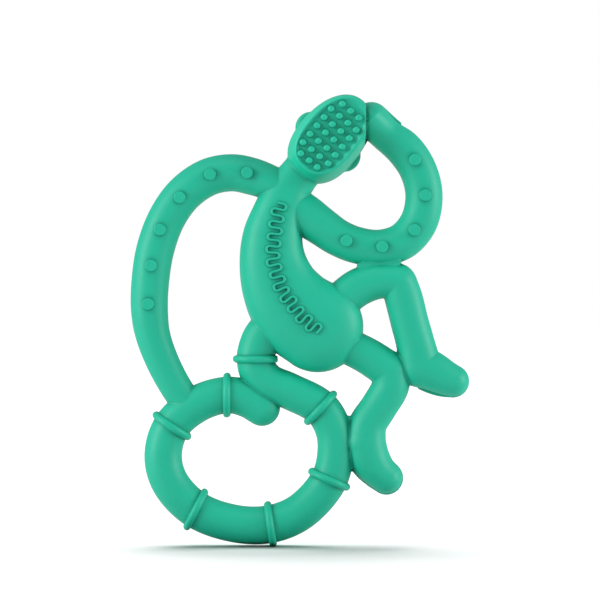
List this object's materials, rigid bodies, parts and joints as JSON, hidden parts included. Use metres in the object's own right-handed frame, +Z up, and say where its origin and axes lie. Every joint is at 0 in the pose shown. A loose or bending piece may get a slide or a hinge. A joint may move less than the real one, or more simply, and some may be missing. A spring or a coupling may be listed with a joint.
{
  "type": "teething ring",
  "caption": "Silicone teething ring shaped as a long-limbed sitting animal, with looped arms, a ring tail to grip, a bristled head and sensory nubs.",
  "frame": {"origin": "centre of the bounding box's footprint, at the lowest point of the grip ring", "axes": "+Z up from the grip ring to the head, +X towards the figure's feet, +Y towards its face (the bristled back of the head faces -Y)"},
  "size_m": [0.0846, 0.02, 0.1131],
  "materials": {
    "silicone_body": "soft matte moulded silicone",
    "silicone_nub": "soft matte moulded silicone",
    "silicone_band": "soft matte moulded silicone",
    "silicone_brush": "soft matte moulded silicone, short bristles",
    "silicone_face": "soft matte moulded silicone",
    "silicone_rib": "soft matte moulded silicone"
  },
  "bodies": {
    "root": {"torso": "silicone_body", "head": "silicone_body", "bristle_pad": "silicone_brush", "ear_left": "silicone_body", "ear_right": "silicone_body", "muzzle": "silicone_face", "eye_left": "silicone_face", "eye_right": "silicone_face", "arm_left": "silicone_body", "arm_right": "silicone_body", "leg_left": "silicone_body", "leg_right": "silicone_body", "tail_stem": "silicone_body", "tail_loop": "silicone_body", "back_rib": "silicone_rib", "arm_left_nub_1": "silicone_nub", "arm_left_nub_2": "silicone_nub", "arm_left_nub_3": "silicone_nub", "arm_left_nub_4": "silicone_nub", "arm_left_nub_5": "silicone_nub", "arm_left_nub_6": "silicone_nub", "arm_right_nub_1": "silicone_nub", "arm_right_nub_2": "silicone_nub", "arm_right_nub_3": "silicone_nub", "arm_right_nub_4": "silicone_nub", "arm_right_nub_5": "silicone_nub", "tail_band_1": "silicone_band", "tail_band_2": "silicone_band", "tail_band_3": "silicone_band", "tail_band_4": "silicone_band", "tail_band_5": "silicone_band", "tail_band_6": "silicone_band", "tail_band_7": "silicone_band"}
  },
  "joints": []
}
